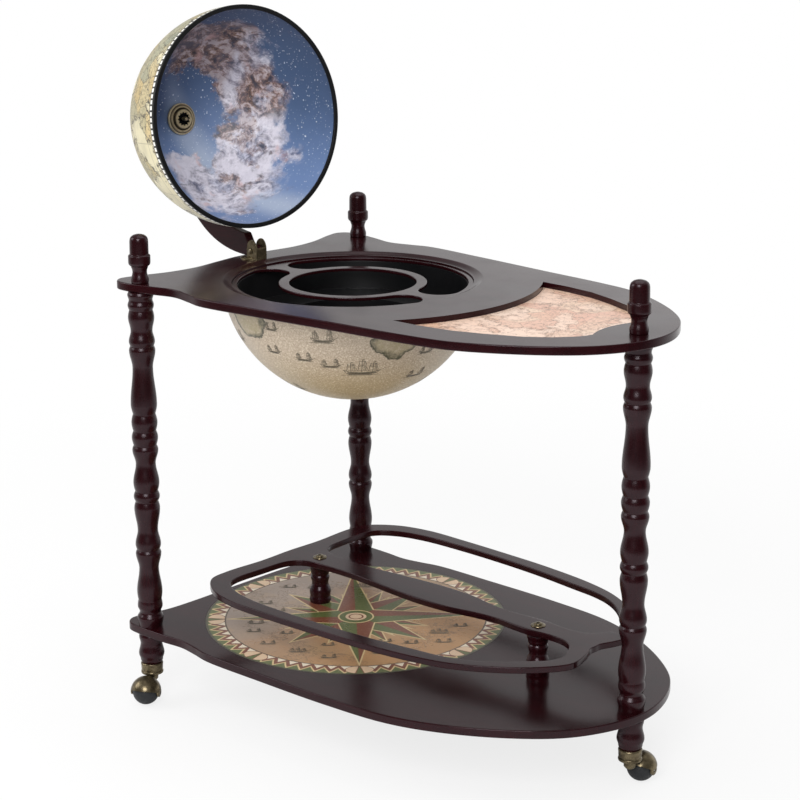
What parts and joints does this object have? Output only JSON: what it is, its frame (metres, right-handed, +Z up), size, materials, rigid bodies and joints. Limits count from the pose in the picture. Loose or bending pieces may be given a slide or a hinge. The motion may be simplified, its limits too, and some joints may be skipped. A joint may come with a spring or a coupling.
{
  "type": "floor globe bar",
  "caption": "Wooden drinks table on ball casters with a hinged globe lid over a bottle and glass tray, and a lower shelf with a bottle rail.",
  "frame": {"origin": "on the floor, under the middle of the whole box with the lid open", "axes": "+Z up; +X along the table from its wide end with the hinge to its narrow end; +Y to the rear side, away from the side that the open lid is turned to"},
  "size_m": [0.9752, 0.5444, 1.0108],
  "materials": {
    "mahogany": "dark mahogany lacquer, satin gloss",
    "dark_wood": "dark mahogany lacquer, satin",
    "aged_brass": "antique brass plating with darkened hollows",
    "steel": "plain zinc-plated steel",
    "black_rubber": "matt black",
    "black_plastic": "satin black",
    "printed_cream": "plastic shell with an old-map paper print",
    "star_sky": "printed night-sky paper",
    "printed_peach": "printed old-map paper under clear lacquer",
    "printed_medallion": "printed compass disc under clear lacquer"
  },
  "bodies": {
    "stand": {"tabletop": "mahogany", "map_panel": "printed_peach", "insert_plate": "mahogany", "inner_tray": "black_plastic", "well_cup": "black_plastic", "bowl_ring": "mahogany", "lower_bowl": "printed_cream", "ring_screw_1": "steel", "ring_screw_2": "steel", "ring_screw_3": "steel", "lower_shelf": "mahogany", "shelf_medallion": "printed_medallion", "bottle_rail": "mahogany", "rail_standoff_wide": "mahogany", "rail_standoff_narrow": "mahogany", "rail_screw_wide": "aged_brass", "rail_screw_narrow": "aged_brass", "standoff_screw_wide": "steel", "standoff_screw_narrow": "steel", "hinge_bracket": "aged_brass", "hinge_pin": "aged_brass", "hinge_screw_1": "aged_brass", "hinge_screw_2": "aged_brass", "post_left": "mahogany", "finial_left": "mahogany", "foot_left": "mahogany", "top_bolt_left": "steel", "shelf_bolt_left": "steel", "caster_ferrule_left": "aged_brass", "post_rear": "mahogany", "finial_rear": "mahogany", "foot_rear": "mahogany", "top_bolt_rear": "steel", "shelf_bolt_rear": "steel", "caster_ferrule_rear": "aged_brass", "post_narrow": "mahogany", "finial_narrow": "mahogany", "foot_narrow": "mahogany", "top_bolt_narrow": "steel", "shelf_bolt_narrow": "steel", "caster_ferrule_narrow": "aged_brass"},
    "lid_arm": {"meridian_arm": "dark_wood", "pole_pin": "steel", "pole_nut": "steel", "pole_washer": "aged_brass", "pole_knob": "aged_brass"},
    "lid": {"lid_dome": "printed_cream", "lid_liner": "star_sky", "lid_ring": "black_plastic", "pole_flange": "aged_brass"},
    "caster_left": {"caster_hood_left": "aged_brass", "caster_axle_left": "steel"},
    "ball_left": {"caster_ball_left": "black_rubber"},
    "caster_rear": {"caster_hood_rear": "aged_brass", "caster_axle_rear": "steel"},
    "ball_rear": {"caster_ball_rear": "black_rubber"},
    "caster_narrow": {"caster_hood_narrow": "aged_brass", "caster_axle_narrow": "steel"},
    "ball_narrow": {"caster_ball_narrow": "black_rubber"}
  },
  "joints": [
    {"name": "lid_hinge", "type": "hinge", "parent": "stand", "child": "lid_arm", "pos_m": [-0.256, 0, 0.645], "axis": [-0.0698, -0.9946, -0.0767], "range_deg": [-97.8, 0]},
    {"name": "lid_spin", "type": "hinge", "parent": "lid_arm", "child": "lid", "pos_m": [-0.26784, -0.0017, 0.84517], "axis": [-0.9793, 0.1558, -0.129], "continuous": true},
    {"name": "caster_swivel_left", "type": "hinge", "parent": "stand", "child": "caster_left", "pos_m": [-0.26, -0.226, 0.045], "axis": [0, 0, 1], "continuous": true},
    {"name": "ball_roll_left", "type": "hinge", "parent": "caster_left", "child": "ball_left", "pos_m": [-0.24774, -0.25006, 0.0195], "axis": [0.891, 0.454, 0], "continuous": true},
    {"name": "caster_swivel_rear", "type": "hinge", "parent": "stand", "child": "caster_rear", "pos_m": [-0.26, 0.226, 0.045], "axis": [0, 0, 1], "continuous": true},
    {"name": "ball_roll_rear", "type": "hinge", "parent": "caster_rear", "child": "ball_rear", "pos_m": [-0.24732, 0.24984, 0.0195], "axis": [-0.8829, 0.4695, 0], "continuous": true},
    {"name": "caster_swivel_narrow", "type": "hinge", "parent": "stand", "child": "caster_narrow", "pos_m": [0.454, 0, 0.045], "axis": [0, 0, 1], "continuous": true},
    {"name": "ball_roll_narrow", "type": "hinge", "parent": "caster_narrow", "child": "ball_narrow", "pos_m": [0.45259, 0.02696, 0.0195], "axis": [-0.9986, -0.0523, 0], "continuous": true}
  ]
}
